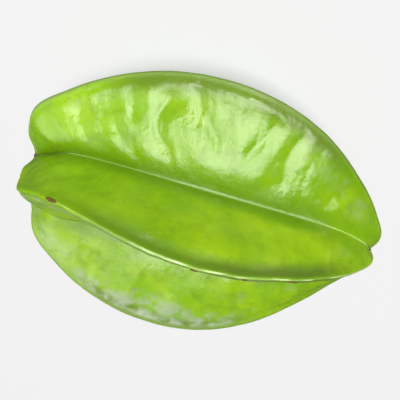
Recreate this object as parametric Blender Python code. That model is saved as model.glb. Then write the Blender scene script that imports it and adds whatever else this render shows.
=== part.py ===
"""Star fruit (carambola): one whole green fruit, as picked, lying at rest on two of its five ribs.

The fruit grew as one piece, so it is one closed solid. Its long axis is +X, with the stem end at -X
and the blossom end at +X, and the surface that it lies on is the plane z = 0. One rib stands straight
up and two rest on the surface.

The shape follows one rule. Two outlines run from the pit at the stem end to the pit at the blossom
end: the crest outline, along the edge of a rib, and the valley outline, along the crease between two
ribs. Each rib's flanks span from the one to the other. Every rib leans and grows a little
differently.
"""

import bpy
import bmesh
import numpy as np

MM = 0.001

# Outlines as (distance along the axis, distance from the axis) in millimetres, stem end first.
CREST_OUTLINE = (
    (-48.4, 0.0),
    (-49.1, 4.4),
    (-50.9, 10.5),
    (-49.1, 19.9),
    (-39.3, 27.4),
    (-25.8, 34.2),
    (-9.0, 38.6),
    (8.7, 38.3),
    (25.2, 32.3),
    (39.8, 21.0),
    (48.7, 11.3),
    (52.8, 5.4),
    (52.2, 0.0),
)
VALLEY_OUTLINE = (
    (-48.4, 0.0),
    (-43.2, 4.8),
    (-36.3, 11.6),
    (-21.5, 14.8),
    (0.4, 15.3),
    (24.4, 13.6),
    (39.6, 11.5),
    (48.0, 6.2),
    (52.2, 0.0),
)

# The five ribs, as degrees from straight up towards +Y. A lean, in degrees, is given at five places
# along the fruit, and a height as a share of the crest outline at the stem and at the blossom end.
# End shifts, in millimetres along +X, move a rib's two end lobes.
LEAN_PLACES = (-1.0, -0.7, -0.25, 0.3, 0.95)
RIBS = (
    {"angle": 0.0, "lean": (-4.6, 5.3, 3.8, 1.4, -8.9), "height": (1.046, 1.023), "shift": (4.3, -1.0)},
    {"angle": 72.0, "lean": (-12.0, -2.8, 0.5, -0.2, 2.5), "height": (0.969, 1.047), "shift": (1.9, 1.0)},
    {"angle": 144.0, "lean": (4.0, 1.0, 0.0, 0.0, 3.0), "height": (1.0, 1.0), "shift": (1.5, -1.0)},
    {"angle": 216.0, "lean": (-3.0, -1.0, 0.0, 0.0, -3.0), "height": (1.0, 1.0), "shift": (3.0, 0.0)},
    {"angle": 288.0, "lean": (6.1, 1.8, 0.0, -0.9, -8.1), "height": (1.033, 0.945), "shift": (5.5, -1.8)},
)
# Each valley lies halfway round to the next rib, with a small lean of its own.
VALLEY_LEANS = (
    (1.6, 1.5, -0.8, -0.9, -1.3),
    (-2.0, 0.0, 1.0, 0.5, -1.5),
    (0.0, -1.0, 0.0, 1.0, 0.0),
    (1.5, 0.5, -0.5, 0.0, 1.0),
    (-6.0, -5.0, 0.0, -0.5, -2.0),
)
# Towards the stem end a valley may fill up: the share that its distance from the axis grows by.
VALLEY_FILLS = (0.0, 0.2, 0.4, 0.2, 1.5)
FILL_POWER = 4  # how late the filling starts on the way to the stem end

HALF_LENGTH = 50.0  # mm, what the places along the fruit are a share of
LOBE_RADIUS = 15.0  # mm, an end shift grows to its full amount over this distance from the axis
CREST_HALF_WIDTH = 1.15  # mm, half of the blunt edge along a rib
CREST_DOME = 0.45  # mm, how far the middle of that edge stands above its sides
FLANK_BULGE = 2.1  # mm, how far a flank swells past the straight line from valley to crest
BULGE_PLACE = 0.8  # exponent under 1 moves the swelling towards the valley
STATION_COUNT = 42  # rings between the two pits
FLANK_STEPS = 5  # faces across one flank
REST_FLAT_DEPTH = 0.6  # mm, how far the soft edges that carry the weight are pressed flat

SKIN_COLOR = (0.25, 0.47, 0.035, 1.0)
SKIN_ROUGHNESS = 0.35


def clear_scene():
    for obj in list(bpy.data.objects):
        bpy.data.objects.remove(obj, do_unlink=True)


def smooth_outline(points, count):
    """Points at even distances along a smooth curve through the given ones, both ends included."""
    points = np.array(points)
    knots = np.append(0.0, np.cumsum(np.sqrt(np.linalg.norm(np.diff(points, axis=0), axis=1))))
    slopes = np.gradient(points, knots, axis=0)
    fine = np.linspace(knots[0], knots[-1], 40 * len(points))
    span = np.clip(np.searchsorted(knots, fine, side="right") - 1, 0, len(points) - 2)
    width = knots[span + 1] - knots[span]
    t = ((fine - knots[span]) / width)[:, None]
    curve = (
        (2 * t**3 - 3 * t**2 + 1) * points[span]
        + (t**3 - 2 * t**2 + t) * width[:, None] * slopes[span]
        + (3 * t**2 - 2 * t**3) * points[span + 1]
        + (t**3 - t**2) * width[:, None] * slopes[span + 1]
    )
    run = np.append(0.0, np.cumsum(np.linalg.norm(np.diff(curve, axis=0), axis=1)))
    even = np.linspace(0.0, run[-1], count)
    return np.column_stack([np.interp(even, run, curve[:, axis]) for axis in (0, 1)])


def lean_at(leans, along):
    """The lean in radians at each distance along the axis: the one quartic through the five values."""
    rule = np.polynomial.Polynomial.fit(LEAN_PLACES, leans, len(LEAN_PLACES) - 1)
    return np.radians(rule(np.clip(along / HALF_LENGTH, -1.0, 1.0)))


def at_angle(along, radius, angle):
    return np.stack([along, radius * np.sin(angle), radius * np.cos(angle)], axis=-1)


def crest_line(rib, outline):
    """The middle of one rib's edge, with the rib's own height, end shifts and lean."""
    along, radius = outline[:, 0], outline[:, 1]
    share = along / HALF_LENGTH
    lobe = np.clip(np.abs(share), 0.0, 1.0) ** 2 * np.clip(radius / LOBE_RADIUS, 0.0, 1.0)
    shifted = along + lobe * np.where(along < 0, *rib["shift"])
    tall = radius * np.interp(share, (-1.0, 1.0), rib["height"])
    angle = np.radians(rib["angle"]) + lean_at(rib["lean"], along)
    return at_angle(shifted, tall, angle)


def valley_line(index, outline):
    half_turn = np.pi / len(RIBS)
    angle = np.radians(RIBS[index]["angle"]) + half_turn + lean_at(VALLEY_LEANS[index], outline[:, 0])
    near_stem = np.clip(-outline[:, 0] / HALF_LENGTH, 0.0, 1.0) ** FILL_POWER
    return at_angle(outline[:, 0], outline[:, 1] * (1.0 + VALLEY_FILLS[index] * near_stem), angle)


def across(crest):
    """Unit vectors square to the axis and to the rib, one for each point of its edge."""
    radius = np.maximum(np.linalg.norm(crest[:, 1:], axis=1, keepdims=True), 1e-9)
    outward = crest[:, 1:] / radius
    return np.column_stack([np.zeros(len(crest)), outward[:, 1], -outward[:, 0]]), radius


def rib_rows(valley_before, crest, valley_after):
    """Rows of points from the valley before the rib, over its edge, to just short of the next valley."""
    sideways, radius = across(crest)
    outward = np.column_stack([np.zeros(len(crest)), -sideways[:, 2], sideways[:, 1]])
    edge_width = np.minimum(CREST_HALF_WIDTH, 0.25 * radius)
    edge_drop = np.minimum(CREST_DOME, 0.1 * radius)
    rows = []
    for valley, side in ((valley_before, -1.0), (valley_after, 1.0)):
        edge = crest + side * edge_width * sideways - edge_drop * outward
        depth = np.linalg.norm(edge - valley, axis=1, keepdims=True)
        bulge = FLANK_BULGE * np.clip(depth / LOBE_RADIUS, 0.0, 1.0)
        flank = []
        for step in range(FLANK_STEPS + 1):
            t = step / FLANK_STEPS
            swell = np.sin(np.pi * t**BULGE_PLACE)
            flank.append(valley + t * (edge - valley) + side * bulge * swell * sideways)
        rows.append(flank)
    before, after = rows
    return before + [crest] + after[:0:-1]


def fruit_rows():
    """Every lengthwise row of points, once round the fruit, each from pit to pit."""
    crest_outline = smooth_outline(CREST_OUTLINE, STATION_COUNT + 2)
    valley_outline = smooth_outline(VALLEY_OUTLINE, STATION_COUNT + 2)
    crests = [crest_line(rib, crest_outline) for rib in RIBS]
    valleys = [valley_line(index, valley_outline) for index in range(len(RIBS))]
    rows = []
    for index, crest in enumerate(crests):
        rows += rib_rows(valleys[index - 1], crest, valleys[index])
    return MM * np.array(rows)


def skin_mesh(rows):
    """The closed skin: quads between the rows and a fan of triangles in each pit."""
    mesh = bmesh.new()
    rings = [[mesh.verts.new(point) for point in row[1:-1]] for row in rows]
    stem_pit = mesh.verts.new(rows[0][0])
    blossom_pit = mesh.verts.new(rows[0][-1])
    for row, following in zip(rings, rings[1:] + rings[:1]):
        mesh.faces.new((stem_pit, following[0], row[0]))
        mesh.faces.new((blossom_pit, row[-1], following[-1]))
        for near, far in zip(range(len(row) - 1), range(1, len(row))):
            mesh.faces.new((row[near], following[near], following[far], row[far]))
    bmesh.ops.recalc_face_normals(mesh, faces=mesh.faces)
    return mesh


def skin_material():
    material = bpy.data.materials.new("skin")
    material.use_nodes = True
    shader = material.node_tree.nodes["Principled BSDF"]
    shader.inputs["Base Color"].default_value = SKIN_COLOR
    shader.inputs["Roughness"].default_value = SKIN_ROUGHNESS
    shader.inputs["Metallic"].default_value = 0.0
    return material


def press_flat(obj, sides):
    """The surface below cuts the two edges that rest on it flat, at z = 0."""
    width, length, depth = sides
    mesh = bmesh.new()
    bmesh.ops.create_cube(mesh, size=1.0)
    bmesh.ops.scale(mesh, vec=(width, length, depth), verts=mesh.verts)
    bmesh.ops.translate(mesh, vec=(0.0, 0.0, -depth / 2), verts=mesh.verts)
    data = bpy.data.meshes.new("table")
    mesh.to_mesh(data)
    mesh.free()
    table = bpy.data.objects.new("table", data)
    bpy.context.scene.collection.objects.link(table)
    table.hide_render = True
    table.display_type = "WIRE"
    cut = obj.modifiers.new("rest_flats", "BOOLEAN")
    cut.operation = "DIFFERENCE"
    cut.solver = "EXACT"
    cut.object = table


def build_star_fruit():
    rows = fruit_rows()
    low, high = rows.min(axis=(0, 1)), rows.max(axis=(0, 1))
    middle = (low + high) / 2
    rows -= (middle[0], middle[1], low[2] + REST_FLAT_DEPTH * MM)
    data = bpy.data.meshes.new("star_fruit")
    mesh = skin_mesh(rows)
    mesh.to_mesh(data)
    mesh.free()
    data.shade_smooth()
    data.materials.append(skin_material())
    fruit = bpy.data.objects.new("star_fruit", data)
    bpy.context.scene.collection.objects.link(fruit)
    press_flat(fruit, 2 * (high - low))
    return fruit


clear_scene()
build_star_fruit()
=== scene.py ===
# %% [markdown]
# # A green star fruit, as a lesson in Blender
# The star fruit, or carambola, is one berry with five ribs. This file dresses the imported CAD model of
# one: it loads the model as a fixed frame, grows a detailed skin in the same place, gives it the marks
# of a real fruit, and sets up a plain studio. Read it from top to bottom. Each step says what the
# real thing is, how it could be made, and why this way was chosen. Lengths are in metres wherever
# Blender asks for them, and millimetres are a number times MM.

import math
from types import SimpleNamespace

import bmesh
import bpy
import numpy as np
from mathutils import Matrix, Vector
from mathutils.bvhtree import BVHTree


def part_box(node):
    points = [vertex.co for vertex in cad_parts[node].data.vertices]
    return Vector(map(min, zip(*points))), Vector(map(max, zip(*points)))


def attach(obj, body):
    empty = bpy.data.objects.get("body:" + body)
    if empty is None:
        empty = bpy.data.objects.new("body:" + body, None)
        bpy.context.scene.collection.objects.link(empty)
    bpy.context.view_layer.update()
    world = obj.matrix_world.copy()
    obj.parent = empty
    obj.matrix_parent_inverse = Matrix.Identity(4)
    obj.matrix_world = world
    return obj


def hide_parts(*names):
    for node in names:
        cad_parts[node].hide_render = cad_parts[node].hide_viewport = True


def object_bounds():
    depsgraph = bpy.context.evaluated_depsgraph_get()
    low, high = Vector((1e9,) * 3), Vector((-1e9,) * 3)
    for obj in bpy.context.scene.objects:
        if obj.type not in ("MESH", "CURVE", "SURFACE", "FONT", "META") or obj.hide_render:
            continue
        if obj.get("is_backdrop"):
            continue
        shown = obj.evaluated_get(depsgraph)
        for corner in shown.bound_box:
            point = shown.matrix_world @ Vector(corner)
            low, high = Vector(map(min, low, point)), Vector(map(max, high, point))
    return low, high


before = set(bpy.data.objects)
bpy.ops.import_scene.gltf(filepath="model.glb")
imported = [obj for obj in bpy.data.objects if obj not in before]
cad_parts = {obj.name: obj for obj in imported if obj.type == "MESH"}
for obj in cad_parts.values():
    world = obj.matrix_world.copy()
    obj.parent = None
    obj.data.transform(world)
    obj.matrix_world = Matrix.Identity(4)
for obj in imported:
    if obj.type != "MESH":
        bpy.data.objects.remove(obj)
cad_box = [list(corner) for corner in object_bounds()]
MM = 0.001
low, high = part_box("star_fruit")
print("CAD box, mm:", [round(side / MM, 1) for side in high - low])

# %% [markdown]
# ## The rule that the fruit grows by
# A star fruit could be sculpted by hand, but its shape follows a rule, and a rule is easier to change.
# Seen from the side, the edge of a rib is one smooth outline from the pit at the stem end to the pit
# at the blossom end, and the crease between two ribs is another. Every rib takes the same two
# outlines, leans a little its own way and grows a little taller or shorter, and towards the stem end
# some creases fill up. The numbers are millimetres from the middle of the fruit and from its axis, and
# they are the CAD model's own.

# %% The two outlines and the five ribs
CREST_OUTLINE = (
    (-48.4, 0.0),
    (-49.1, 4.4),
    (-50.9, 10.5),
    (-49.1, 19.9),
    (-39.3, 27.4),
    (-25.8, 34.2),
    (-9.0, 38.6),
    (8.7, 38.3),
    (25.2, 32.3),
    (39.8, 21.0),
    (48.7, 11.3),
    (52.8, 5.4),
    (52.2, 0.0),
)
VALLEY_OUTLINE = (
    (-48.4, 0.0),
    (-43.2, 4.8),
    (-36.3, 11.6),
    (-21.5, 14.8),
    (0.4, 15.3),
    (24.4, 13.6),
    (39.6, 11.5),
    (48.0, 6.2),
    (52.2, 0.0),
)
LEAN_PLACES = (-1.0, -0.7, -0.25, 0.3, 0.95)
RIBS = (
    {"angle": 0.0, "lean": (-4.6, 5.3, 3.8, 1.4, -8.9), "height": (1.046, 1.023), "shift": (4.3, -1.0)},
    {"angle": 72.0, "lean": (-12.0, -2.8, 0.5, -0.2, 2.5), "height": (0.969, 1.047), "shift": (1.9, 1.0)},
    {"angle": 144.0, "lean": (4.0, 1.0, 0.0, 0.0, 3.0), "height": (1.0, 1.0), "shift": (1.5, -1.0)},
    {"angle": 216.0, "lean": (-3.0, -1.0, 0.0, 0.0, -3.0), "height": (1.0, 1.0), "shift": (3.0, 0.0)},
    {"angle": 288.0, "lean": (6.1, 1.8, 0.0, -0.9, -8.1), "height": (1.033, 0.945), "shift": (5.5, -1.8)},
)
VALLEY_LEANS = (
    (1.6, 1.5, -0.8, -0.9, -1.3),
    (-2.0, 0.0, 1.0, 0.5, -1.5),
    (0.0, -1.0, 0.0, 1.0, 0.0),
    (1.5, 0.5, -0.5, 0.0, 1.0),
    (-6.0, -5.0, 0.0, -0.5, -2.0),
)
VALLEY_FILLS = (0.0, 0.2, 0.4, 0.2, 1.5)
FILL_POWER = 4
HALF_LENGTH = 50.0
LOBE_RADIUS = 15.0
RIB_COUNT = len(RIBS)
STATIONS = 232
print(RIB_COUNT, "ribs, the widest", max(point[1] for point in CREST_OUTLINE), "mm from the axis")

# %% [markdown]
# ## Guide lines
# Five crest lines and five valley lines carry the whole shape, as the wires of a lampshade do. They
# are worked out once, as plain points, and handed to Geometry Nodes as a mesh that has only points.
# A drawn curve for each line would also do, but then ten curves would have to be kept in step.


# %% Lines from pit to pit
def smooth_outline(points, count):
    """Points at even distances along a smooth curve through the given ones, both ends included."""
    points = np.array(points)
    knots = np.append(0.0, np.cumsum(np.sqrt(np.linalg.norm(np.diff(points, axis=0), axis=1))))
    slopes = np.gradient(points, knots, axis=0)
    fine = np.linspace(knots[0], knots[-1], 40 * len(points))
    span = np.clip(np.searchsorted(knots, fine, side="right") - 1, 0, len(points) - 2)
    width = knots[span + 1] - knots[span]
    t = ((fine - knots[span]) / width)[:, None]
    curve = (
        (2 * t**3 - 3 * t**2 + 1) * points[span]
        + (t**3 - 2 * t**2 + t) * width[:, None] * slopes[span]
        + (3 * t**2 - 2 * t**3) * points[span + 1]
        + (t**3 - t**2) * width[:, None] * slopes[span + 1]
    )
    run = np.append(0.0, np.cumsum(np.linalg.norm(np.diff(curve, axis=0), axis=1)))
    even = np.linspace(0.0, run[-1], count)
    return np.column_stack([np.interp(even, run, curve[:, axis]) for axis in (0, 1)])


def lean_at(leans, along):
    """The lean in radians at each distance along the axis: the one quartic through five values."""
    rule = np.polynomial.Polynomial.fit(LEAN_PLACES, leans, len(LEAN_PLACES) - 1)
    return np.radians(rule(np.clip(along / HALF_LENGTH, -1.0, 1.0)))


def at_angle(along, radius, angle):
    return np.stack([along, radius * np.sin(angle), radius * np.cos(angle)], axis=-1)


def crest_line(rib, outline):
    along, radius = outline[:, 0], outline[:, 1]
    share = along / HALF_LENGTH
    lobe = np.clip(np.abs(share), 0.0, 1.0) ** 2 * np.clip(radius / LOBE_RADIUS, 0.0, 1.0)
    shifted = along + lobe * np.where(along < 0, *rib["shift"])
    tall = radius * np.interp(share, (-1.0, 1.0), rib["height"])
    return at_angle(shifted, tall, np.radians(rib["angle"]) + lean_at(rib["lean"], along))


def valley_line(index, outline):
    middle = np.radians(RIBS[index]["angle"]) + np.pi / RIB_COUNT
    angle = middle + lean_at(VALLEY_LEANS[index], outline[:, 0])
    near_stem = np.clip(-outline[:, 0] / HALF_LENGTH, 0.0, 1.0) ** FILL_POWER
    return at_angle(outline[:, 0], outline[:, 1] * (1.0 + VALLEY_FILLS[index] * near_stem), angle)


def put_in_scene(name, data):
    made = bpy.data.objects.new(name, data)
    bpy.context.scene.collection.objects.link(made)
    return made


def mesh_object(name, points, edges=()):
    mesh = bpy.data.meshes.new(name)
    mesh.from_pydata(points, edges, [])
    return put_in_scene(name, mesh)


# %% The guide points, in their places
crest_outline = smooth_outline(CREST_OUTLINE, STATIONS)
valley_outline = smooth_outline(VALLEY_OUTLINE, STATIONS)
crest_lines = np.array([crest_line(rib, crest_outline) for rib in RIBS])
valley_lines = np.array([valley_line(index, valley_outline) for index in range(RIB_COUNT)])
axis_place = np.array(
    (
        low.x / MM - crest_lines[..., 0].min(),
        (low.y + high.y) / (2 * MM) - (crest_lines[..., 1].min() + crest_lines[..., 1].max()) / 2,
        high.z / MM - crest_lines[..., 2].max(),
    )
)
guide_points = MM * np.concatenate([crest_lines, valley_lines]).reshape(-1, 3)
guides = mesh_object("guide_lines", guide_points.tolist())
print("the axis passes through, mm:", axis_place.round(2))

# %% [markdown]
# ## Folds, drawn on the unrolled skin
# A ripening rib fills out unevenly: shallow folds run from the edge towards the crease, and the skin
# between them swells into pillows. They are what breaks the gloss into pools. Folds could be noise
# alone, but noise has no direction. So each fold is drawn as a short line on a map of the unrolled
# skin, which is as long as the fruit, as high as a flank, and has one sheet for each flank. Both flanks
# of the standing rib and the two that face them are drawn one by one, and a seeded rule draws the other
# six. A fold drawn a little above its sheet is never quite reached, and so comes out shallow: the
# first number of each fold says how far above, in millimetres.

# %% Draw the folds
UNROLLED_LENGTH = 110.0
UNROLLED_HEIGHT = 28.0
UNROLLED_GAP = 90.0
FOLD_SEED = 11
FOLDS_BY_RULE = 8
UPPER_FLANK, STANDING_FLANK, FRONT_FLANK, HIDDEN_SIDE = 2, 1, 9, 0
DRAWN_FOLDS = {
    UPPER_FLANK: (
        (1.1, (0.235, 0.95), (0.232, 0.55), (0.245, 0.18)),
        (0.7, (0.290, 0.82), (0.305, 0.45), (0.325, 0.18)),
        (0.8, (0.335, 0.99), (0.345, 0.64)),
        (0.0, (0.410, 0.78), (0.388, 0.55), (0.400, 0.30)),
        (0.0, (0.450, 0.95), (0.475, 0.74), (0.515, 0.46)),
        (0.0, (0.610, 0.82), (0.590, 0.62), (0.575, 0.46)),
        (0.0, (0.625, 0.96), (0.665, 0.86), (0.650, 0.50), (0.658, 0.30)),
        (0.8, (0.715, 0.96), (0.705, 0.84)),
        (0.4, (0.825, 0.96), (0.795, 0.70), (0.770, 0.38)),
        (1.4, (0.870, 0.90), (0.840, 0.50)),
    ),
    STANDING_FLANK: (
        (0.9, (0.200, 0.74), (0.240, 0.50)),
        (0.6, (0.830, 0.80), (0.860, 0.62)),
        (0.4, (0.890, 0.84), (0.915, 0.50)),
    ),
    FRONT_FLANK: (
        (1.7, (0.170, 0.42), (0.160, 0.86)),
        (1.8, (0.330, 0.22), (0.300, 0.72)),
        (1.7, (0.470, 0.62), (0.450, 0.96)),
        (1.5, (0.550, 0.66), (0.600, 0.95)),
        (1.5, (0.690, 0.72), (0.720, 0.94)),
    ),
    HIDDEN_SIDE: (
        (0.8, (0.520, 0.88), (0.530, 0.40)),
        (0.6, (0.680, 0.80), (0.660, 0.30)),
    ),
}


def ruled_folds(rng):
    """Folds for one flank: spread out along it, slanting away from its middle towards the edge."""
    drawn = []
    spread_out = np.linspace(0.13, 0.87, FOLDS_BY_RULE)
    for place in spread_out + rng.uniform(-0.03, 0.03, FOLDS_BY_RULE):
        top, bottom = rng.uniform(0.65, 0.97), rng.uniform(0.12, 0.42)
        slant = 0.10 * (place - 0.5) + rng.uniform(-0.03, 0.03)
        middle = (place + slant / 2 + rng.uniform(-0.012, 0.012), (top + bottom) / 2)
        drawn.append((rng.uniform(0.3, 1.4), (place + slant, top), middle, (place, bottom)))
    return drawn


rng = np.random.default_rng(FOLD_SEED)
fold_points, fold_edges = [], []
for flank in range(2 * RIB_COUNT):
    for above, *line in DRAWN_FOLDS.get(flank) or ruled_folds(rng):
        start = len(fold_points)
        for along, rise in line:
            sheet_height = flank * UNROLLED_GAP + above
            fold_points.append((along * UNROLLED_LENGTH, rise * UNROLLED_HEIGHT, sheet_height))
        fold_edges += [(start + step, start + step + 1) for step in range(len(line) - 1)]
folds = mesh_object("fold_lines", fold_points, fold_edges)
print(len(fold_edges), "fold segments on", 2 * RIB_COUNT, "flanks")

# %% [markdown]
# ## A small workbench for nodes
# Node trees are easier to read as sums than as hundreds of link lines. The class below wraps one
# socket, so that `a * b + 1` adds the Math nodes. Every other node comes from one helper that takes
# the node's type, its settings, and the values or links of its sockets.


# %% The workbench
class Wire:
    """One output socket. Python's operators on it add Math nodes to its tree."""

    def __init__(self, tree, socket):
        self.tree = tree
        self.socket = socket

    def __add__(self, other):
        return maths("ADD", self, other)

    def __sub__(self, other):
        return maths("SUBTRACT", self, other)

    def __rsub__(self, other):
        return maths("SUBTRACT", other, self)

    def __mul__(self, other):
        return maths("MULTIPLY", self, other)

    def __truediv__(self, other):
        return maths("DIVIDE", self, other)

    def __pow__(self, other):
        return maths("POWER", self, other)

    __radd__ = __add__
    __rmul__ = __mul__


def add_node(tree, kind, settings=None, sockets=(), out=None):
    """Adds a node: its settings first, then its sockets, in order or by key. Returns one output."""
    made = tree.nodes.new(kind)
    for name, value in (settings or {}).items():
        setattr(made, name, value)
    for key, value in sockets.items() if isinstance(sockets, dict) else enumerate(sockets):
        if isinstance(value, Wire):
            tree.links.new(value.socket, made.inputs[key])
        else:
            made.inputs[key].default_value = value
    shown = [socket for socket in made.outputs if socket.enabled]
    return Wire(tree, made.outputs[out] if out else shown[0]) if shown else made


def tree_of(values):
    return next(value.tree for value in values if isinstance(value, Wire))


def maths(operation, *values):
    return add_node(tree_of(values), "ShaderNodeMath", {"operation": operation}, values)


def vectors(operation, *values):
    return add_node(tree_of(values), "ShaderNodeVectorMath", {"operation": operation}, values)


def scaled(vector, amount):
    sockets = {"Vector": vector, "Scale": amount}
    return add_node(vector.tree, "ShaderNodeVectorMath", {"operation": "SCALE"}, sockets)


def added(first, *others):
    for other in others:
        first = vectors("ADD", first, other)
    return first


def length_of(vector):
    settings = {"operation": "LENGTH"}
    return add_node(vector.tree, "ShaderNodeVectorMath", settings, (vector,), out="Value")


def vector_of(*parts):
    return add_node(tree_of(parts), "ShaderNodeCombineXYZ", None, parts)


def parts_of(vector):
    split = add_node(vector.tree, "ShaderNodeSeparateXYZ", None, (vector,)).socket.node
    return [Wire(vector.tree, socket) for socket in split.outputs]


def ease(value, start, end, first=0.0, last=1.0):
    """Goes smoothly from first to last as the value goes from start to end."""
    sockets = {"Value": value, "From Min": start, "From Max": end, "To Min": first, "To Max": last}
    return add_node(value.tree, "ShaderNodeMapRange", {"interpolation_type": "SMOOTHSTEP"}, sockets)


def fade(value, start, end, last=0.0):
    """Goes smoothly from 1 down to last as the value goes from start to end."""
    return ease(value, start, end, 1.0, last)


def noise(vector, scale, detail=2.0, roughness=0.5, distortion=0.0):
    sockets = {"Vector": vector, "Scale": scale, "Detail": detail}
    sockets |= {"Roughness": roughness, "Distortion": distortion}
    return add_node(vector.tree, "ShaderNodeTexNoise", None, sockets, out="Fac")


# %% [markdown]
# ## Trees with named inputs
# A geometry tree is a recipe. Its inputs have names, so that the sizes can be changed without opening
# it. The tree runs as a modifier on an empty mesh. The result is copied to a plain mesh and the
# modifier is thrown away, because what leaves Blender is the mesh and not the recipe.


# %% Open, close and run a tree
def new_tree(name, inputs):
    tree = bpy.data.node_groups.new(name, "GeometryNodeTree")
    tree.interface.new_socket("Geometry", in_out="OUTPUT", socket_type="NodeSocketGeometry")
    for label, kind, _ in inputs:
        tree.interface.new_socket(label, in_out="INPUT", socket_type="NodeSocket" + kind)
    entry = tree.nodes.new("NodeGroupInput")
    return tree, {label: Wire(tree, entry.outputs[label]) for label, _, _ in inputs}


def close_tree(tree, geometry, material):
    real = add_node(tree, "GeometryNodeRealizeInstances", None, {"Geometry": geometry})
    sockets = {"Geometry": real, "Material": material}
    painted = add_node(tree, "GeometryNodeSetMaterial", None, sockets)
    add_node(tree, "NodeGroupOutput", None, {"Geometry": painted})


def run_tree(name, tree, inputs):
    """Runs a geometry tree and returns its result as a plain mesh object at the origin."""
    host = mesh_object("host_of_" + name, [])
    modifier = host.modifiers.new(name, "NODES")
    modifier.node_group = tree
    values = {label: value for label, _, value in inputs}
    for item in tree.interface.items_tree:
        if item.in_out == "INPUT":
            modifier[item.identifier] = values[item.name]
    graph = bpy.context.evaluated_depsgraph_get()
    mesh = bpy.data.meshes.new_from_object(host.evaluated_get(graph), depsgraph=graph)
    host.modifiers.remove(modifier)
    bpy.data.objects.remove(host)
    mesh.name = name
    print(name, "has", sum(len(face.vertices) - 2 for face in mesh.polygons), "triangles")
    return put_in_scene(name, mesh)


# %% [markdown]
# ## The finish of the skin
# A carambola's skin is thin, waxy and a little see-through. Its green isn't even: yellow-green and
# blotchy on the flanks, and deeper and more olive beside the edges. Painted shade darkens the creases
# and one side of each edge. The blunt edge itself is paler, partly worn skin and partly a painted
# highlight, and so is the very bottom of a crease, partly a pale line of its own and partly a painted
# highlight. The flanks also ripen one after another, so that some are still deep green while others
# turn yellow towards the blossom end, and the ripest ones keep a whitish film beside their edges,
# partly a bloom of wax and partly a painted sheen. A painted texture could hold all of this, but rules
# hold it at any scale.
#
# The skin mesh carries what the rules need. Two distances say how far a point is from the rib's edge
# and from the crease. A third tells the two sides of an edge apart, since one takes a painted
# highlight and the other a painted shade. A share says how ripe the flank is, and another how much its
# rib was rubbed. The rest comes from noise in the object's own space, and its scale says how many
# blotches go into a metre.


# %% Helpers for materials
def new_material(name):
    material = bpy.data.materials.new(name)
    material.use_nodes = True
    tree = material.node_tree
    tree.nodes.clear()
    shader = tree.nodes.new("ShaderNodeBsdfPrincipled")
    out = tree.nodes.new("ShaderNodeOutputMaterial")
    tree.links.new(shader.outputs["BSDF"], out.inputs["Surface"])
    return material, tree, shader


def feed(shader, **sockets):
    """Sets or links the shader's sockets. An underscore in a name stands for a space."""
    for name, value in sockets.items():
        socket = shader.inputs[name.replace("_", " ")]
        if isinstance(value, Wire):
            value.tree.links.new(value.socket, socket)
        else:
            socket.default_value = value


def blend_colours(share, first, second):
    sockets = {0: share, 6: first, 7: second}
    return add_node(share.tree, "ShaderNodeMix", {"data_type": "RGBA"}, sockets)


def bump(height, distance, normal=None):
    sockets = {"Height": height, "Distance": distance} | ({"Normal": normal} if normal else {})
    return add_node(height.tree, "ShaderNodeBump", None, sockets)


def carried(tree, name):
    return add_node(tree, "ShaderNodeAttribute", {"attribute_name": name}, out="Fac")


# %% Skin colours
# Some skin colours also paint light: the deep green paints shade in the creases, the olive paints shade
# on one side of each edge, and the pale and whitish ones are partly painted highlight and sheen.
FLANK_GREEN = (0.170, 0.342, 0.003, 1.0)
FLANK_YELLOW = (0.250, 0.412, 0.003, 1.0)
RIPE_YELLOW = (0.330, 0.490, 0.003, 1.0)
DEEP_GREEN = (0.100, 0.215, 0.004, 1.0)
OLIVE = (0.095, 0.165, 0.014, 1.0)
EDGE_PALE_AND_HIGHLIGHT = (0.480, 0.600, 0.320, 1.0)
CREASE_PALE_AND_HIGHLIGHT = (0.620, 0.780, 0.360, 1.0)
SPECK_BROWN = (0.060, 0.050, 0.012, 1.0)
WAX_AND_SHEEN_WHITE = (0.270, 0.335, 0.235, 1.0)


# %% What the rules read
def skin_marks(tree):
    """What the rules read at each point: distances in millimetres, and shares from 0 to 1."""
    names = ("from_edge", "from_crease", "over_edge", "ripeness", "rubbed")
    at = SimpleNamespace(**{name: carried(tree, name) for name in names})
    at.place = add_node(tree, "ShaderNodeTexCoord", out="Object")
    at.along = parts_of(at.place)[0] / MM
    at.blotches = noise(at.place, 55.0, detail=3.0, roughness=0.55, distortion=0.4)
    at.mottle = noise(at.place, 260.0, detail=4.0, roughness=0.6)
    at.ripest = ease(at.ripeness, 0.93, 0.98)
    at.inland = ease(at.from_edge + at.from_crease, 8.0, 18.0)
    at.off_the_tip = ease(at.along, -36.0, -20.0) * at.inland
    at.middle_part = ease(at.along, -27.0, -19.0) * fade(at.along, 36.0, 48.0, 0.3)
    return at
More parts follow.
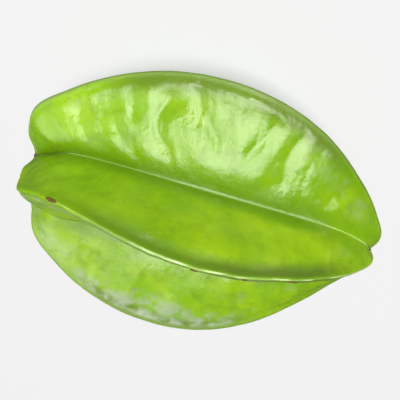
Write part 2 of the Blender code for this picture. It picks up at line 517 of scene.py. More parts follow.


# %% [markdown]
# ### Greens
# The colour is built as a painter glazes: a blotchy ground of two greens, and thin layers over it, each
# with a rule for how strongly it covers. One long formula would do the same, but a layer is easier to
# read, to change and to leave out. The first layers are greens: mottle, flanks that are unripe or
# turning, darker bands beside the edge, and painted shade in the crease.


# %% Layers of green
def green_layers(at):
    yield ease(at.mottle, 0.44, 0.70, 0.0, 0.50), DEEP_GREEN

    unripe = (1.0 - at.ripeness) * ease(at.along, -38.0, -8.0, 0.0, 0.42)
    unripe = unripe + 0.2 * at.ripeness * ease(at.along, -6.0, -24.0)
    yield unripe * ease(at.from_edge, 0.0, 3.0) * ease(at.from_crease, 0.0, 3.0), DEEP_GREEN

    shifted = at.along + 60.0 * (at.blotches - 0.5)
    turning = ease(shifted, -8.0, 24.0) * fade(shifted, 30.0, 48.0, 0.15)
    half_ripe = 4.0 * at.ripeness * (1.0 - at.ripeness)
    yield 0.30 * half_ripe * turning * ease(at.from_crease, 3.0, 9.0), RIPE_YELLOW

    beside_edge = fade(at.from_edge + 5.0 * (at.blotches - 0.5), 2.0, 7.0) * at.off_the_tip
    yield 0.7 * beside_edge * (1.0 - 0.7 * at.ripest), DEEP_GREEN

    band = ease(at.from_edge, 0.4, 1.2) * fade(at.from_edge + 3.0 * (at.mottle - 0.5), 2.2, 5.6)
    broken = ease(noise(at.place, 38.0, detail=1.0), 0.30, 0.54)
    yield 0.95 * band * broken * at.off_the_tip, OLIVE

    # Painted shade: the crease is darkened where its walls keep light out.
    painted_crease_shade = fade(at.from_crease + 4.0 * (at.blotches - 0.5), 0.5, 8.0)
    yield 0.9 * painted_crease_shade * at.inland, DEEP_GREEN


# %% [markdown]
# ### Wax bloom and painted sheen
# The whitish film is partly a bloom of wax that whitens and dulls the skin, and partly a painted sheen
# that stands in for soft reflections. It is thick beside the edges of the ripest flanks, and thin and
# patchy elsewhere. It could be a second surface over the first, but a film this thin has no shape of
# its own, so it is two more layers here and some roughness below.


# %% Layers of wax and painted sheen
def wax_and_sheen_layers(at):
    # A thick whitish film beside the edges of the ripest flanks: wax bloom and painted sheen.
    reach = 3.0 * ease(at.along, -19.0, -12.0) * fade(at.along, -1.0, 6.0)
    thick = fade(at.from_edge - reach + 6.0 * (at.blotches - 0.5), 4.5, 8.5)
    thick = thick * at.ripest * ease(at.from_edge, 0.8, 2.2)
    thick = thick * ease(at.along, -40.0, -18.0, 0.55, 1.0) * fade(at.along, 12.0, 26.0)
    thick = thick * ease(noise(at.place, 300.0, detail=4.0, distortion=0.5), 0.36, 0.68)
    yield 0.88 * thick, WAX_AND_SHEEN_WHITE

    # Thin patches of the same film, also wax bloom and painted sheen.
    at_the_end = 0.6 * ease(noise(at.place, 150.0), 0.52, 0.72) * ease(at.along, 33.0, 42.0)
    on_the_ripest = ease(noise(at.place, 120.0), 0.56, 0.70) * at.ripest
    high_up = ease(at.from_edge, 1.5, 4.0) * fade(at.from_edge, 6.0, 12.0)
    on_the_greenest = ease(noise(at.place, 210.0, detail=3.0), 0.46, 0.62) * high_up
    on_the_greenest = on_the_greenest * ease(at.ripeness, 0.3, 0.1) * ease(at.along, 0.0, 14.0)
    thin = at_the_end + on_the_ripest + on_the_greenest
    thin = thin * ease(at.from_crease, 2.0, 6.0) * ease(at.from_edge, 1.0, 3.0)
    yield 0.20 * thin, WAX_AND_SHEEN_WHITE


# %% [markdown]
# ### Edges, creases and specks
# Every edge takes painted shade on its darker side. A rubbed edge is pale on its other side and near
# the stem tip, partly from wear and partly as a painted highlight, and an edge that wasn't rubbed is
# outlined in olive. The bottom of a crease is a thin pale line, partly its own colour and partly a
# painted highlight, and fine brown specks lie in clusters. These could be strips and dots laid on the
# skin, but they have no thickness, so they stay colour.


# %% Layers for lines and specks
def line_layers(at):
    # Painted shade on the darker side of every edge.
    painted_rim_shade = ease(at.over_edge, -0.85, -0.45) * fade(at.over_edge, -0.12, 0.08)
    yield painted_rim_shade * (0.25 + 0.6 * at.middle_part), OLIVE
    yield 0.9 * fade(at.from_edge, 0.35, 1.15) * (1.0 - at.rubbed), OLIVE

    # The pale side of a rubbed edge and its stem tip: partly worn skin, partly a painted highlight.
    rim_width = ease(at.along, -20.0, 12.0, 1.7, 1.0)
    pale_rim_and_highlight = ease(at.over_edge, -0.10, 0.06) * fade(at.over_edge / rim_width, 0.18, 0.48)
    worn = ease(noise(at.place, 110.0, detail=3.0), 0.40, 0.56, 0.15, 1.0)
    pale_tip_and_highlight = ease(at.over_edge, -3.4, -2.2) * fade(at.over_edge, -0.8, -0.2)
    pale_tip_and_highlight = pale_tip_and_highlight * ease(at.along, -36.0, -40.0) * ease(at.mottle, 0.38, 0.60)
    yield (0.8 * pale_rim_and_highlight * at.middle_part * worn + 0.6 * pale_tip_and_highlight) * at.rubbed, EDGE_PALE_AND_HIGHLIGHT

    # The crease's pale line: partly its own colour, partly a painted highlight.
    crease_line_and_highlight = fade(at.from_crease, 0.13, 0.38)
    yield crease_line_and_highlight * ease(noise(at.place, 130.0), 0.36, 0.50, 0.75, 1.0), CREASE_PALE_AND_HIGHLIGHT

    sockets = {"Vector": at.place, "Scale": 1100.0}
    crumbs = add_node(at.place.tree, "ShaderNodeTexVoronoi", None, sockets, out="Distance")
    clusters = ease(noise(at.place, 70.0, detail=1.0), 0.63, 0.70)
    yield 0.8 * fade(crumbs, 0.12, 0.26) * clusters, SPECK_BROWN


def skin_colour(at):
    colour = blend_colours(ease(at.blotches + 0.25 * at.mottle, 0.48, 0.82), FLANK_GREEN, FLANK_YELLOW)
    for layers in (green_layers, wax_and_sheen_layers, line_layers):
        for cover, paint in layers(at):
            colour = blend_colours(cover, colour, paint)
    return colour


# %% [markdown]
# ### Gloss and fine relief
# The skin shines, but not evenly: it is duller in patches, on flanks with a bloom, and along edges
# that weren't rubbed. One roughness all over would look like plastic. Lumps and pores are finer than
# the mesh, so they are bump. A little subsurface light stands in for the moist flesh behind the skin.

# %% Finish the skin
LUMP_HEIGHT = 0.15 * MM
PORE_HEIGHT = 0.035 * MM


def skin_roughness(at):
    rough = 0.13 + 0.07 * at.mottle + 0.10 * ease(noise(at.place, 34.0), 0.40, 0.65)
    rough = rough + 0.09 * ease(noise(at.place, 140.0, detail=3.0), 0.44, 0.60)
    rough = rough + 0.12 * at.ripest + 0.36 * at.ripeness * (1.0 - at.ripeness)
    return rough + 0.30 * (1.0 - at.rubbed) * fade(at.from_edge, 0.5, 1.8)


def skin_relief(at):
    lumps = noise(at.place, 420.0, detail=3.0, roughness=0.6)
    pores = noise(at.place, 1100.0, detail=3.0)
    return bump(pores, PORE_HEIGHT, bump(lumps, LUMP_HEIGHT))


def skin_finish():
    material, tree, shader = new_material("star_fruit_skin")
    at = skin_marks(tree)
    feed(shader, Base_Color=skin_colour(at), Roughness=skin_roughness(at), Normal=skin_relief(at))
    feed(shader, IOR=1.5, Subsurface_Weight=0.12)
    feed(shader, Subsurface_Radius=(0.5, 1.0, 0.15), Subsurface_Scale=2.5 * MM)
    return material


skin = skin_finish()
print(skin.name, "has", len(skin.node_tree.nodes), "nodes")

# %% [markdown]
# ## The skin, grown by Geometry Nodes
# The skin starts as a flat grid: one direction runs round the fruit, rib after rib, and the other from
# pit to pit. Each grid point looks up its crest point and its valley point among the guide lines. Its
# rise, from 0 in the valley to 1 on the crest, then places it on the swelling flank or on the blunt
# rounded edge. Last, the flanks get the long shallow dents that break a real star fruit's gloss into
# pools. The dents are real geometry, because they also show in the outline and from the side.

# %% Inputs of the skin tree
SKIN_INPUTS = (
    ("Guides", "Object", guides),
    ("Stations", "Int", STATIONS),
    ("Fold Lines", "Object", folds),
    ("Rows In A Rib", "Int", 80),
    ("Axis Place", "Vector", tuple(MM * axis_place)),
    ("Edge Half Width", "Float", 0.50 * MM),
    ("Edge Drop", "Float", 0.42 * MM),
    ("Edge Waver", "Float", 1.1 * MM),
    ("Edge Curl", "Float", 0.40 * MM),
    ("Flank Swell", "Float", 0.8 * MM),
    ("Crease Radius", "Float", 1.2 * MM),
    ("Fold Depth", "Float", 0.50 * MM),
    ("Fold Width", "Float", 3.2),
    ("Fold Wander", "Float", 4.0),
    ("Pillow Height", "Float", 0.30 * MM),
    ("Pillow Width", "Float", 7.0),
    ("Dent Depth", "Float", 1.3 * MM),
    ("Small Dents", "Float", 0.13),
    ("Dents Along", "Float", 17.0),
    ("Dents Across", "Float", 2.4),
    ("Seed", "Float", 4.0),
    ("Skin", "Material", skin),
)
# The blunt edge takes this share of the rise and turns over this far.
EDGE_SHARE = 0.2
EDGE_TURN = math.radians(80.0)
# An exponent under 1 moves a flank's swelling towards the valley.
SWELL_PLACE = 0.8
# Two flanks meet at twice this angle. A round filling of radius 1 there reaches and lifts this far.
CREASE_ANGLE = math.radians(54.0)
CREASE_LIFT = 1.0 / math.sin(CREASE_ANGLE) - 1.0
CREASE_REACH = 1.0 / math.tan(CREASE_ANGLE)
# Ripeness comes and goes in waves from flank to flank. The standing rib was rubbed most.
FLANK_PHASE, FLANK_START = 1.371, 1.771
RUB_PHASE = 4.0 * math.pi / RIB_COUNT
# How finely an edge wavers, and how far apart the noise is read for different ribs and flanks.
WAVERS_ALONG = 17.0
EDGE_GAP, RIB_GAP, SIDE_GAP = 5.3, 6.7, 2.9
NEARLY_ZERO = 1e-7
MERGE_WITHIN = 1e-6


# %% Find each grid point's place
def grid_places(given):
    """Each grid point's station, rib, half and side of the rib, flank and rise."""
    tree = given["Stations"].tree
    index = add_node(tree, "GeometryNodeInputIndex")
    row = maths("FLOOR", (index + 0.5) / given["Stations"])
    turn = maths("FLOOR", (row + 0.5) / given["Rows In A Rib"])
    share = row / given["Rows In A Rib"] - turn
    rib = maths("MODULO", turn, float(RIB_COUNT))
    far_half = maths("GREATER_THAN", share, 0.5)
    return SimpleNamespace(
        station=index - row * given["Stations"],
        rib=rib,
        far_half=far_half,
        side=far_half * 2.0 - 1.0,
        flank=rib * 2.0 + far_half,
        rise=1.0 - maths("ABSOLUTE", share * 2.0 - 1.0),
    )


def shape_of(thing):
    """The geometry of an object that the tree was given."""
    return add_node(thing.tree, "GeometryNodeObjectInfo", None, {"Object": thing}, out="Geometry")


def position_in(tree):
    return add_node(tree, "GeometryNodeInputPosition")


def guide_point(given, line, station):
    index = line * given["Stations"] + station + 0.5
    settings = {"data_type": "FLOAT_VECTOR", "domain": "POINT"}
    sockets = {"Geometry": shape_of(given["Guides"]), "Value": position_in(station.tree), "Index": index}
    return add_node(station.tree, "GeometryNodeSampleIndex", settings, sockets)


def away_from_axis(point):
    """A guide point's distance from the long axis, and the two parts of the direction away from it."""
    _, y, z = parts_of(point)
    radius = maths("MAXIMUM", maths("SQRT", y * y + z * z), NEARLY_ZERO)
    return radius, y / radius, z / radius


# %% Place the points of a flank and its edge
def blunt_edge(given, places, radius):
    """How far the edge's surface is to the side of the crest line, and how far below it."""
    width = maths("MINIMUM", given["Edge Half Width"], radius * 0.25)
    drop = maths("MINIMUM", given["Edge Drop"], radius * 0.1)
    turn = EDGE_TURN * maths("MINIMUM", (1.0 - places.rise) / EDGE_SHARE, 1.0)
    out_by = maths("SINE", turn) * (1.0 / math.sin(EDGE_TURN)) * width * places.side
    down_by = (1.0 - maths("COSINE", turn)) * (-1.0 / (1.0 - math.cos(EDGE_TURN))) * drop
    return out_by, down_by


def crease_filling(given, valley, up_the_flank):
    """The move away from the axis that rounds the bottom of a crease."""
    radius, out_y, out_z = away_from_axis(valley)
    reach = CREASE_REACH * maths("MINIMUM", given["Crease Radius"], radius * 0.3)
    bare = 1.0 - maths("MINIMUM", up_the_flank / reach, 1.0)
    lift = bare * bare * reach * (CREASE_LIFT / CREASE_REACH)
    return scaled(vector_of(0.0, out_y, out_z), lift)


def rib_section(given, places):
    """Where each point goes, its distances from the edge and the crease, and its share of the flank."""
    rib, station = places.rib, places.station
    valley_number = maths("MODULO", rib + places.far_half + (RIB_COUNT - 1.0), float(RIB_COUNT))
    crest = guide_point(given, rib, station)
    valley = guide_point(given, valley_number + RIB_COUNT, station)
    radius, out_y, out_z = away_from_axis(crest)
    outward, sideways = vector_of(0.0, out_y, out_z), vector_of(0.0, out_z, 0.0 - out_y)

    lane = vector_of(station / STATIONS * WAVERS_ALONG, rib * EDGE_GAP + given["Seed"], 0.0)
    waver = (noise(lane, 1.0, detail=5.0, roughness=0.62) - 0.5) * given["Edge Waver"]
    crest = added(crest, scaled(sideways, waver * ease(radius, 0.0, 20.0 * MM)))
    out_by, down_by = blunt_edge(given, places, radius)
    edge = added(crest, scaled(sideways, out_by), scaled(outward, down_by))

    even = maths("MINIMUM", places.rise / (1.0 - EDGE_SHARE), 1.0)
    share = even * 0.3 + 0.7 * even * even * (3.0 - 2.0 * even)
    span = vectors("SUBTRACT", edge, valley)
    depth = length_of(span)
    swell = given["Flank Swell"] * maths("MINIMUM", depth / (LOBE_RADIUS * MM), 1.0)
    swell = swell * maths("SINE", math.pi * share**SWELL_PLACE) * places.side
    point = added(valley, scaled(span, share), scaled(sideways, swell))
    point = added(point, crease_filling(given, valley, share * depth))
    gaps = [length_of(vectors("SUBTRACT", point, line)) / MM for line in (crest, valley)]
    return added(point, given["Axis Place"]), gaps, share


# %% Dent the flanks and curl the edges
def store(geometry, name, kind, value):
    sockets = {"Geometry": geometry, "Name": name, "Value": value}
    return add_node(geometry.tree, "GeometryNodeStoreNamedAttribute", {"data_type": kind}, sockets)


def stored(tree, name, kind="FLOAT"):
    return add_node(tree, "GeometryNodeInputNamedAttribute", {"data_type": kind}, {"Name": name})


def surface_relief(given, tree):
    """How far each point moves along its normal."""
    lane = stored(tree, "lane", "FLOAT_VECTOR")
    from_edge, from_crease = stored(tree, "from_edge"), stored(tree, "from_crease")
    broad = noise(lane, 1.0, detail=1.5, roughness=0.45, distortion=0.35) - 0.5
    small = noise(lane, 3.1) - 0.5
    calm = ease(from_edge, 1.0, 5.0) * ease(from_crease, 1.5, 8.0)
    wander = scaled(vector_of(noise(lane, 1.5) - 0.5, noise(lane, 1.1) - 0.5, 0.0), given["Fold Wander"])
    on_sheet = added(stored(tree, "unrolled", "FLOAT_VECTOR"), wander)
    sockets = {"Geometry": shape_of(given["Fold Lines"]), "Sample Position": on_sheet}
    apart = add_node(tree, "GeometryNodeProximity", {"target_element": "EDGES"}, sockets, out="Distance")
    near_fold = 1.0 - maths("MINIMUM", apart / given["Fold Width"], 1.0)
    fold = near_fold * near_fold * given["Fold Depth"]
    pillow = ease(apart, 0.0, given["Pillow Width"]) * given["Pillow Height"]
    dents = given["Dent Depth"] * (broad + given["Small Dents"] * small)
    curl = ease(from_edge, 0.7, 2.8) * fade(from_edge, 2.8, 7.5) * ease(from_crease, 3.0, 12.0)
    curl = given["Edge Curl"] * curl * stored(tree, "side") * (0.5 + noise(lane, 0.45))
    return (dents + pillow - fold) * calm - curl


# %% Grow the skin
def marked(sheet, given, places, gaps, flank_share):
    """The sheet with what the relief and the finish read from it."""
    from_edge, from_crease = gaps
    marks = {
        "from_edge": from_edge,
        "from_crease": from_crease,
        "side": places.side,
        "over_edge": from_edge * places.side,
        "ripeness": 0.5 + 0.5 * maths("SINE", places.flank * FLANK_PHASE + FLANK_START),
        "rubbed": 0.5 + 0.5 * maths("COSINE", places.rib * RUB_PHASE),
    }
    maps = {
        "lane": vector_of(
            places.station / STATIONS * given["Dents Along"],
            places.rise * given["Dents Across"],
            places.rib * RIB_GAP + places.far_half * SIDE_GAP + given["Seed"],
        ),
        "unrolled": vector_of(
            places.station * (UNROLLED_LENGTH / (STATIONS - 1.0)),
            flank_share * UNROLLED_HEIGHT,
            places.flank * UNROLLED_GAP,
        ),
    }
    for kind, values in (("FLOAT", marks), ("FLOAT_VECTOR", maps)):
        for name, value in values.items():
            sheet = store(sheet, name, kind, value)
    return sheet


def placed(geometry, **how):
    """Gives each point a Position, or moves it by an Offset."""
    return add_node(geometry.tree, "GeometryNodeSetPosition", None, {"Geometry": geometry} | how)


def smooth(geometry):
    return add_node(geometry.tree, "GeometryNodeSetShadeSmooth", None, {"Geometry": geometry})


def grow_skin():
    tree, given = new_tree("star_fruit_skin", SKIN_INPUTS)
    around = given["Rows In A Rib"] * float(RIB_COUNT) + 1.0
    sockets = {"Vertices X": around, "Vertices Y": given["Stations"]}
    sheet = add_node(tree, "GeometryNodeMeshGrid", None, sockets)
    places = grid_places(given)
    point, gaps, flank_share = rib_section(given, places)
    sheet = placed(marked(sheet, given, places, gaps, flank_share), Position=point)
    sockets = {"Geometry": sheet, "Distance": MERGE_WITHIN}
    sheet = add_node(tree, "GeometryNodeMergeByDistance", None, sockets)
    sheet = smooth(add_node(tree, "GeometryNodeFlipFaces", None, {"Mesh": sheet}))
    normal = add_node(tree, "GeometryNodeInputNormal", out="Normal")
    sheet = placed(sheet, Offset=scaled(normal, surface_relief(given, tree)))
    x, y, z = parts_of(position_in(tree))
    sheet = placed(sheet, Position=vector_of(x, y, maths("MAXIMUM", z, 0.0)))
    close_tree(tree, sheet, given["Skin"])
    return run_tree("star_fruit_skin", tree, SKIN_INPUTS)


fruit = grow_skin()
bpy.data.objects.remove(guides)
bpy.data.objects.remove(folds)
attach(fruit, "root")
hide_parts("star_fruit")

# %% [markdown]
# ## Corky scars
# Where a rib rubbed against a twig while the fruit grew, the skin healed over with brown cork. Painted
# spots would be flat, so each scar is a low flake with a rough top: a squashed ball, set into the skin
# and roughened by noise. The standing rib's scars are listed one by one, and the two ribs that the
# fruit lies on get a few from a seeded rule. A scar's place is its share of the way along the rib's edge
# and its millimetres to the side of it, and then it is snapped onto the skin.

# %% Where the scars lie
STANDING_SCARS = (
    (0.262, 0.45, 3.8, 1.0),
    (0.538, -0.50, 1.7, 0.6),
    (0.618, -0.50, 1.4, 0.6),
    (0.709, -0.50, 3.0, 0.6),
)
SCAR_HEIGHT = 0.50
SCAR_SEED = 5
SCARS_BY_RULE = 5
LYING_RIBS = (2, 3)


def ruled_scars(rng):
    """Share along the edge, offset to the side, length and width in millimetres."""
    ranges = ((0.1, 0.9), (-0.6, 0.6), (0.7, 2.2), (0.4, 0.7))
    return np.column_stack([rng.uniform(least, most, SCARS_BY_RULE) for least, most in ranges])


def scar_points(skin_object):
    """Points on the skin, each with the turn and the size that its scar takes."""
    mesh = skin_object.data
    corners = [point.co for point in mesh.vertices]
    surface = BVHTree.FromPolygons(corners, [face.vertices[:] for face in mesh.polygons])
    rng = np.random.default_rng(SCAR_SEED)
    places, turns, sizes = [], [], []
    for rib in (0, *LYING_RIBS):
        line = MM * (crest_lines[rib] + axis_place)
        for share, offset, length, width in ruled_scars(rng) if rib else STANDING_SCARS:
            station = round(share * (STATIONS - 1))
            along = Vector(line[station + 2] - line[station - 2]).normalized()
            outward = Vector(crest_lines[rib][station] * (0.0, 1.0, 1.0)).normalized()
            sideways = outward.cross(Vector((1.0, 0.0, 0.0)))
            aim = Vector(line[station]) + sideways * float(offset * MM)
            place, normal, _, _ = surface.find_nearest(aim)
            across = normal.cross(along).normalized()
            turn = Matrix((across.cross(normal), across, normal)).transposed()
            places.append(place)
            turns.append(turn.to_euler())
            sizes.append(Vector((length, width, SCAR_HEIGHT)) * MM / 2)
    holder = mesh_object("scar_points", places)
    for name, values in (("turn", turns), ("size", sizes)):
        attribute = holder.data.attributes.new(name, "FLOAT_VECTOR", "POINT")
        attribute.data.foreach_set("vector", np.array(values).ravel())
    return holder


scar_places = scar_points(fruit)
print(len(scar_places.data.vertices), "scars")

# %% Cork
CORK_LIGHT = (0.115, 0.060, 0.005, 1.0)
CORK_DARK = (0.050, 0.024, 0.003, 1.0)


def cork_finish(name, light, dark, scale):
    material, tree, shader = new_material(name)
    place = add_node(tree, "ShaderNodeTexCoord", out="Object")
    grain = noise(place, scale, detail=4.0, roughness=0.65)
    colour = blend_colours(ease(grain, 0.35, 0.65), dark, light)
    feed(shader, Base_Color=colour, Roughness=0.62 + 0.25 * grain, Normal=bump(grain, 0.15 * MM))
    return material


cork = cork_finish("scar_cork", CORK_LIGHT, CORK_DARK, 1500.0)

# %% Grow the scars
SCAR_INPUTS = (
    ("Scar Places", "Object", scar_places),
    ("Roughness", "Float", 0.22 * MM),
    ("Grain", "Float", 1400.0),
    ("Cork", "Material", cork),
)


def round_ball(tree, radius):
    sockets = {"Radius": radius, "Subdivisions": 4}
    return add_node(tree, "GeometryNodeMeshIcoSphere", None, sockets, out="Mesh")


def copies(points, shape, turned, size=(1.0, 1.0, 1.0)):
    """Real copies of a shape, one at each point."""
    sockets = {"Points": points, "Instance": shape, "Rotation": turned, "Scale": size}
    instances = add_node(shape.tree, "GeometryNodeInstanceOnPoints", None, sockets)
    return add_node(shape.tree, "GeometryNodeRealizeInstances", None, {"Geometry": instances})


def grow_scars():
    tree, given = new_tree("corky_scars", SCAR_INPUTS)
    turned = add_node(tree, "FunctionNodeEulerToRotation", None, (stored(tree, "turn", "FLOAT_VECTOR"),))
    size = stored(tree, "size", "FLOAT_VECTOR")
    flakes = copies(shape_of(given["Scar Places"]), round_ball(tree, 1.0), turned, size)
    position = position_in(tree)
    normal = add_node(tree, "GeometryNodeInputNormal", out="Normal")
    rise = (noise(position, given["Grain"], detail=3.0) - 0.5) * given["Roughness"]
    close_tree(tree, smooth(placed(flakes, Offset=scaled(normal, rise))), given["Cork"])
    return run_tree("corky_scars", tree, SCAR_INPUTS)


def on_the_fruit(piece):
    """The piece moves with the fruit and belongs to it."""
    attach(piece, "root")
    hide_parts("star_fruit")
    return piece


scars = on_the_fruit(grow_scars())
bpy.data.objects.remove(scar_places)

# %% [markdown]
# ## The two ends
# At the stem end the fruit keeps the stub of its stalk, which snapped when it was picked. At the
# blossom end the flower's five sepals have dried to brown points around the end of the style. Both
# sit in the pits where the five creases meet. A stub is a short cylinder, flared where it joins the
# fruit and broken unevenly at its end. The flower remains are five leaning cones round the three that
# make up the style, on a pad. Trees with a few inputs make both, so that either can be resized.

# %% Inputs of the stalk and the flower
STALK_GREEN = (0.130, 0.160, 0.030, 1.0)
STALK_BROWN = (0.110, 0.065, 0.025, 1.0)
DRIED_BROWN = (0.030, 0.018, 0.010, 1.0)
stem_pit = MM * (crest_lines[0, 0] + axis_place)
blossom_pit = MM * (crest_lines[0, -1] + axis_place)
STALK_INPUTS = (
    ("Pit", "Vector", tuple(stem_pit)),
    ("Radius", "Float", 1.3 * MM),
    ("Length", "Float", 3.0 * MM),
    ("Out By", "Float", 0.3 * MM),
    ("Flare", "Float", 0.5),
    ("Ridges", "Float", 0.35),
    ("Break Height", "Float", 0.9 * MM),
    ("Stalk", "Material", cork_finish("stalk_wood", STALK_GREEN, STALK_BROWN, 700.0)),
)
FLOWER_INPUTS = (
    ("Pit", "Vector", tuple(blossom_pit)),
    ("Pad Radius", "Float", 0.9 * MM),
    ("Sepal Length", "Float", 1.3 * MM),
    ("Sepal Radius", "Float", 0.35 * MM),
    ("Spread", "Float", 0.8 * MM),
    ("Raggedness", "Float", 0.5 * MM),
    ("Sunk By", "Float", 0.3 * MM),
    ("Dried", "Material", cork_finish("dried_flower", CORK_DARK, DRIED_BROWN, 900.0)),
)


# %% Grow the stalk
def grow_stalk():
    tree, given = new_tree("stalk_stub", STALK_INPUTS)
    sockets = {"Vertices": 40, "Side Segments": 26, "Fill Segments": 6}
    sockets |= {"Radius": given["Radius"], "Depth": given["Length"]}
    stub = add_node(tree, "GeometryNodeMeshCylinder", None, sockets, out="Mesh")
    x, y, z = parts_of(position_in(tree))
    share = z / given["Length"] + 0.5
    wider = 1.0 + given["Flare"] * ease(share, 0.75, 0.0) + 0.12 * ease(share, 0.8, 1.0)
    ridges = noise(vector_of(x, y, z * 0.15), 1500.0) - 0.5
    wider = wider * (1.0 + given["Ridges"] * ridges)
    splinters = noise(vector_of(x, y, 0.0), 900.0) - 0.6
    broken = z + ease(share, 0.85, 1.0) * given["Break Height"] * splinters
    pit_x, pit_y, pit_z = parts_of(given["Pit"])
    out_x = pit_x - broken - (given["Out By"] - given["Length"] * 0.5)
    place = vector_of(out_x, pit_y + x * wider, pit_z - y * wider)
    close_tree(tree, smooth(placed(stub, Position=place)), given["Stalk"])
    return run_tree("stalk_stub", tree, STALK_INPUTS)


stalk = on_the_fruit(grow_stalk())


# %% Grow the dried flower
def joined(*shapes):
    join = shapes[0].tree.nodes.new("GeometryNodeJoinGeometry")
    for shape in shapes:
        shape.tree.links.new(shape.socket, join.inputs[0])
    return Wire(shapes[0].tree, join.outputs[0])


def circle_of(count, radius):
    sockets = {"Vertices": count, "Radius": radius}
    return add_node(radius.tree, "GeometryNodeMeshCircle", None, sockets)


def grow_flower():
    tree, given = new_tree("dried_flower", FLOWER_INPUTS)
    sockets = {"Vertices": 12, "Side Segments": 10, "Fill Segments": 2}
    sockets |= {"Radius Top": given["Sepal Radius"] * 0.2, "Radius Bottom": given["Sepal Radius"]}
    sockets["Depth"] = given["Sepal Length"]
    sepal = add_node(tree, "GeometryNodeMeshCone", None, sockets, out="Mesh")
    roots = joined(circle_of(RIB_COUNT, given["Spread"]), circle_of(3, given["Spread"] * 0.1))
    x, y, _ = parts_of(position_in(tree))
    leaning = vector_of(x * 0.7, y * 0.7, given["Sepal Length"] * 0.5)
    turned = add_node(tree, "FunctionNodeAlignRotationToVector", {"axis": "Z"}, {"Vector": leaning})
    flower = joined(copies(roots, sepal, turned), round_ball(tree, given["Pad Radius"]))
    position = position_in(tree)
    x, y, z = parts_of(position)
    ragged = (noise(position, 1100.0, detail=3.0) - 0.5) * given["Raggedness"]
    pit_x, pit_y, pit_z = parts_of(given["Pit"])
    out_x = pit_x + z * 0.5 + ragged - given["Sunk By"]
    bent = vector_of(out_x, pit_y + x + ragged, pit_z - y - ragged * 0.5)
    close_tree(tree, smooth(placed(flower, Position=bent)), given["Dried"])
    return run_tree("dried_flower", tree, FLOWER_INPUTS)


flower = on_the_fruit(grow_flower())

# %% [markdown]
# ## The studio
# The fruit lies on a plain pale surface, under soft panels, large and small. A picture in a catalogue
# shows only a faint soft shadow on its paper. One set of lamps could light both the fruit and the
# paper, but then every change to the gloss would also change the shadow. So the panels light the
# fruit alone, one lamp far overhead lights the floor alone, and the floor gives off a little light
# itself to keep the shadow faint. The skin should mirror the panels and not the floor, so what the
# camera sees of the floor is brighter than what the skin sees of it.
#
# A panel's brightness is what the skin mirrors, and its size is what lights the fruit. So each panel
# is given by its brightness and its size, and its power is worked out from them. A panel with a
# narrow spread fades towards its rim, which leaves its mirror image without a hard border.


# %% Floor and surroundings
def grey(share):
    return (share, share, share, 1.0)


GLOW_SEEN, GLOW_MIRRORED = grey(0.254), grey(0.080)
PAINT_SEEN, PAINT_MIRRORED = grey(0.500), grey(0.020)
WORLD_SEEN, WORLD_MIRRORED = 0.888, 0.090
FLOOR_RADIUS, FLOOR_SIDES = 1.3, 128


def build_floor():
    mesh = bpy.data.meshes.new("floor")
    shape = bmesh.new()
    bmesh.ops.create_circle(shape, cap_ends=True, segments=FLOOR_SIDES, radius=FLOOR_RADIUS)
    shape.to_mesh(mesh)
    shape.free()
    floor = put_in_scene("floor", mesh)
    material, tree, shader = new_material("pale_floor")
    seen = add_node(tree, "ShaderNodeLightPath", out="Is Camera Ray")
    glow = blend_colours(seen, GLOW_MIRRORED, GLOW_SEEN)
    paint = blend_colours(seen, PAINT_MIRRORED, PAINT_SEEN)
    feed(shader, Base_Color=paint, Roughness=1.0, Specular_IOR_Level=0.0)
    feed(shader, Emission_Color=glow, Emission_Strength=1.0)
    mesh.materials.append(material)
    floor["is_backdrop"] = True
    return floor


def build_world():
    world = bpy.data.worlds.new("studio")
    bpy.context.scene.world = world
    world.use_nodes = True
    tree = world.node_tree
    backdrop = tree.nodes["Background"]
    seen = add_node(tree, "ShaderNodeLightPath", out="Is Camera Ray")
    strength = WORLD_MIRRORED + (WORLD_SEEN - WORLD_MIRRORED) * seen
    tree.links.new(strength.socket, backdrop.inputs["Strength"])
    backdrop.inputs["Color"].default_value = grey(1.0)


floor = build_floor()
build_world()

# %% Soft panels
NEUTRAL_WHITE = (1.0, 1.0, 1.0)
WARM_WHITE = (1.0, 0.99, 0.87)
# Name, tilt, swing, distance, width, height, brightness and spread.
FLOOR_LAMP = ("floor_lamp", 10.4, 2.0, 3.0, 0.84, 0.84, 51.0, 180.0)
PANELS = (
    ("top_lamp", 16.0, 2.0, 0.5, 0.11, 0.11, 14.0, 180.0),
    ("key_panel", -8.0, 5.0, 0.5, 0.54, 0.26, 10.6, 80.0),
    ("stem_side_panel", -12.0, -36.0, 0.5, 0.24, 0.34, 0.9, 50.0),
    ("low_stem_panel", -74.0, -35.0, 0.5, 0.17, 0.15, 3.4, 80.0),
    ("stem_end_panel", 55.0, -54.0, 0.5, 0.20, 0.20, 9.0, 180.0),
    ("back_panel", 62.0, 18.0, 0.6, 0.75, 0.22, 6.6, 180.0),
    ("front_panel", -47.0, -34.0, 0.55, 0.50, 0.44, 3.5, 52.0),
    ("low_front_panel", -80.0, -2.0, 0.5, 0.14, 0.12, 4.4, 180.0),
)


def soft_panel(name, tilt, swing, away, width, height, brightness, spread, tint, lights_only):
    """A panel aimed at the fruit. Tilt is degrees from overhead towards +Y, swing towards +X."""
    tilt, swing, half_spread = (math.radians(angle) for angle in (tilt, swing, spread / 2))
    level = math.cos(swing)
    direction = Vector((math.sin(swing), math.sin(tilt) * level, math.cos(tilt) * level))
    data = bpy.data.lights.new(name, "AREA")
    data.shape = "RECTANGLE"
    data.size, data.size_y = width, height
    data.spread = 2 * half_spread
    gathered = 1.0 - half_spread / math.tan(half_spread)
    data.energy = brightness * math.pi * width * height * gathered
    data.color = tint
    panel = put_in_scene(name, data)
    panel.location = Vector(MM * axis_place) + direction * away
    panel.rotation_euler = direction.to_track_quat("Z", "Y").to_euler()
    panel.visible_camera = False
    panel.light_linking.receiver_collection = lights_only
    print(name, "power", round(data.energy, 2), "W")


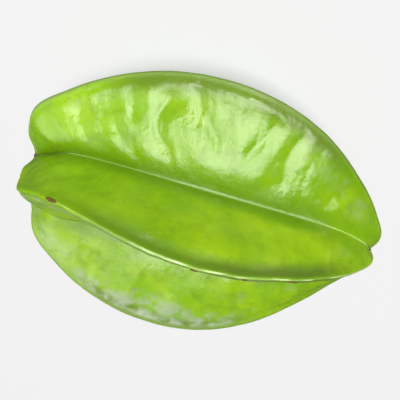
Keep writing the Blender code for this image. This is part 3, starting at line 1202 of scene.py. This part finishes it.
def lit_by(name, *pieces):
    """A collection of pieces, for a lamp that lights nothing else."""
    group = bpy.data.collections.new(name)
    for piece in pieces:
        group.objects.link(piece)
    return group


on_fruit = lit_by("lit_by_the_panels", fruit, scars, stalk, flower)
on_floor = lit_by("lit_by_the_floor_lamp", floor)
soft_panel(*FLOOR_LAMP, NEUTRAL_WHITE, on_floor)
for panel in PANELS:
    soft_panel(*panel, WARM_WHITE, on_fruit)

# %% [markdown]
# ## The camera
# The fruit is looked at from nearly overhead, a little past the rib that stands up, with the camera
# turned so that the fruit lies at a slant. The camera is close, so the near rib looms.

# %% Place the camera
CAMERA_TILT = math.radians(22.7)
CAMERA_ROLL = math.radians(15.72)
CAMERA_AWAY = 147.75 * MM
CAMERA_LENS = 45.69
CAMERA_SHIFT = (0.0088, 0.0014)
back = Vector((0.0, math.sin(CAMERA_TILT), math.cos(CAMERA_TILT)))
level_up = Vector((0.0, math.cos(CAMERA_TILT), -math.sin(CAMERA_TILT)))
level_right = Vector((1.0, 0.0, 0.0))
right = math.cos(CAMERA_ROLL) * level_right + math.sin(CAMERA_ROLL) * level_up
up = math.cos(CAMERA_ROLL) * level_up - math.sin(CAMERA_ROLL) * level_right
spot = Vector(MM * axis_place) + back * CAMERA_AWAY
camera_data = bpy.data.cameras.new("camera")
camera_data.sensor_width = 36.0
camera_data.lens = CAMERA_LENS
camera_data.shift_x, camera_data.shift_y = CAMERA_SHIFT
camera_data.clip_start = MM
camera = put_in_scene("camera", camera_data)
camera.matrix_world = Matrix(
    [(right[row], up[row], back[row], spot[row]) for row in range(3)] + [(0.0, 0.0, 0.0, 1.0)]
)
bpy.context.scene.camera = camera
bpy.context.scene.view_settings.view_transform = "Standard"

# %% [markdown]
# ## Close the work
# The two boxes are written for comparison: the detailed fruit keeps the CAD model's size.

# %% Write the sizes and finish
visual_box = [list(corner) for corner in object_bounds()]
for name, box in (("CAD", cad_box), ("visual", visual_box)):
    print(name, "box, mm:", [[round(value / MM, 2) for value in corner] for corner in box])
